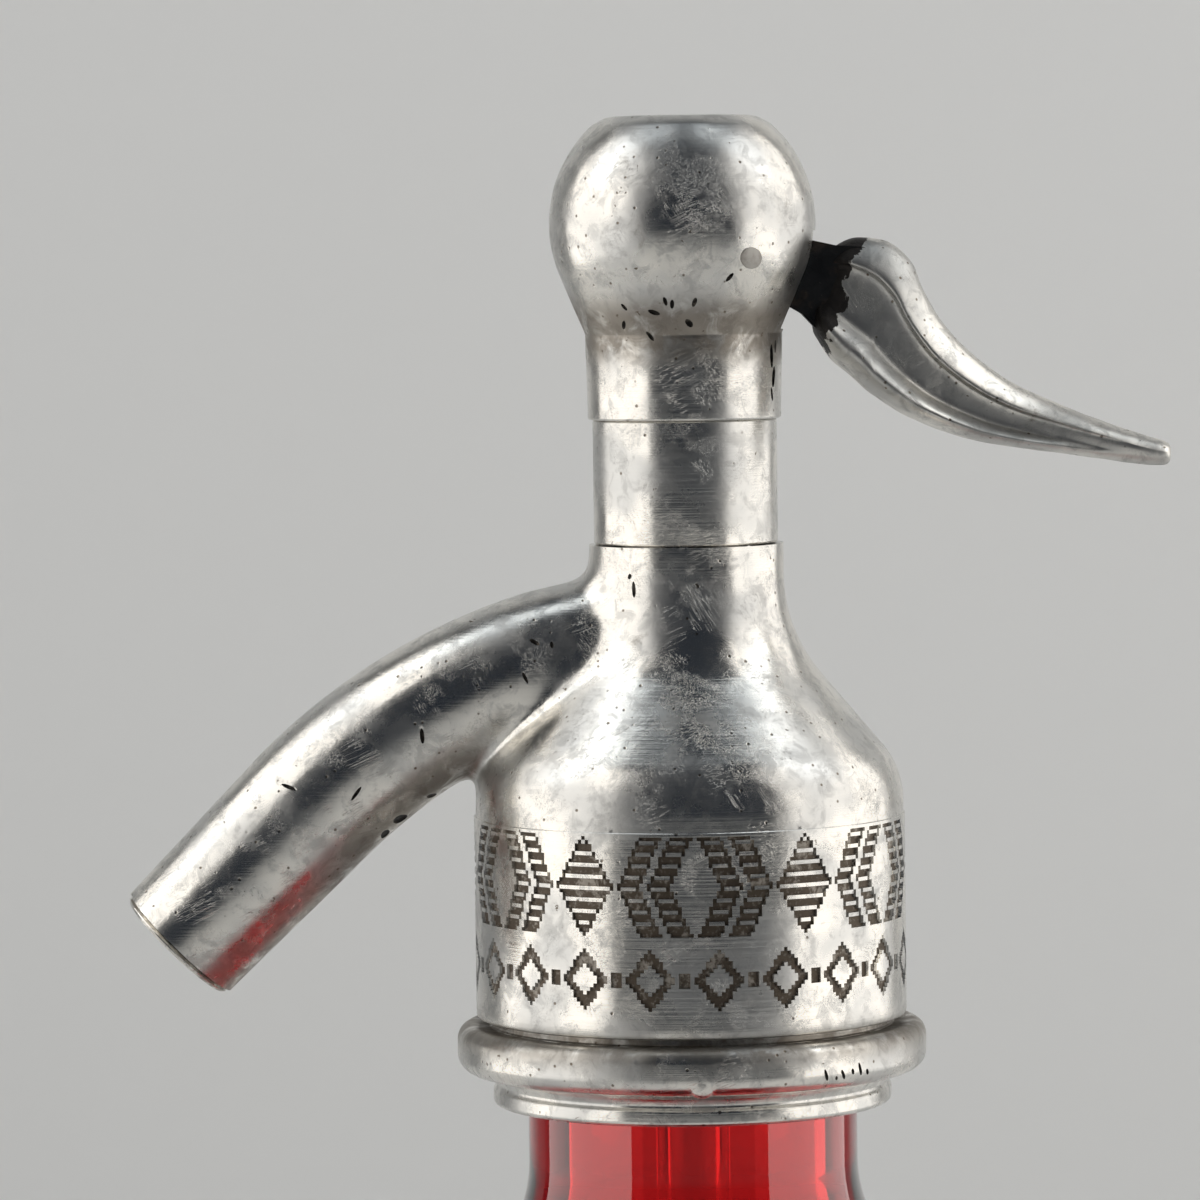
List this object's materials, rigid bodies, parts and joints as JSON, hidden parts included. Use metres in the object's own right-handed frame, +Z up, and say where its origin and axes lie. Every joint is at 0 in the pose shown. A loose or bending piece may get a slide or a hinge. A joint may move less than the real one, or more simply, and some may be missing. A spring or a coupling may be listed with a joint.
{
  "type": "soda siphon",
  "caption": "Round glass siphon bottle with a cast pewter head, a curved spout and a horn-shaped lever that lifts a sprung valve.",
  "frame": {"origin": "centre of the bottle's foot ring, on the surface it stands on", "axes": "+Z up along the bottle's axis, spout towards -X, lever towards +X"},
  "size_m": [0.1119, 0.104, 0.32],
  "materials": {
    "ruby_glass": "smooth ruby-red blown glass",
    "clear_glass": "clear drawn glass",
    "pewter": "worn polished tin alloy with pits and scratches",
    "iron": "dark rusted iron",
    "brass": "dull turned brass",
    "rubber": "old black rubber",
    "leather": "greased leather",
    "spring_steel": "drawn wire"
  },
  "bodies": {
    "siphon": {"bottle_body": "ruby_glass", "bottle_shoulder": "ruby_glass", "dip_tube": "clear_glass", "tube_seal": "rubber", "tube_holder": "brass", "mouth_gasket": "rubber", "split_ring_front": "brass", "split_ring_back": "brass", "ring_nut": "pewter", "head_casting": "pewter", "nozzle_bush": "pewter", "valve_seat": "brass", "sleeve_washer": "leather", "spring_sleeve": "pewter", "spring_guide": "brass", "valve_spring": "spring_steel", "ball_cap": "pewter", "lever_pin": "iron"},
    "spindle": {"spindle": "brass", "valve_washer": "rubber", "washer_retainer": "brass", "packing_cup": "leather", "packing_washer": "brass", "lift_nut": "brass", "lock_nut": "brass"},
    "lever": {"lever_arm": "iron", "lever_grip": "pewter"}
  },
  "joints": [
    {"name": "lever_press", "type": "hinge", "parent": "siphon", "child": "lever", "pos_m": [0.007, 0, 0.3049], "axis": [0, 1, 0], "range_deg": [0, 12], "stiffness_Nm_per_rad": 0.15, "springref_deg": -34.38},
    {"name": "spindle_lift", "type": "slide", "parent": "siphon", "child": "spindle", "axis": [0, 0, 1], "range_m": [0, 0.0015], "deforming": ["valve_spring"]}
  ],
  "couplings": [
    {"joint": "spindle_lift", "follows": "lever_press", "m_per_rad": 0.007}
  ]
}
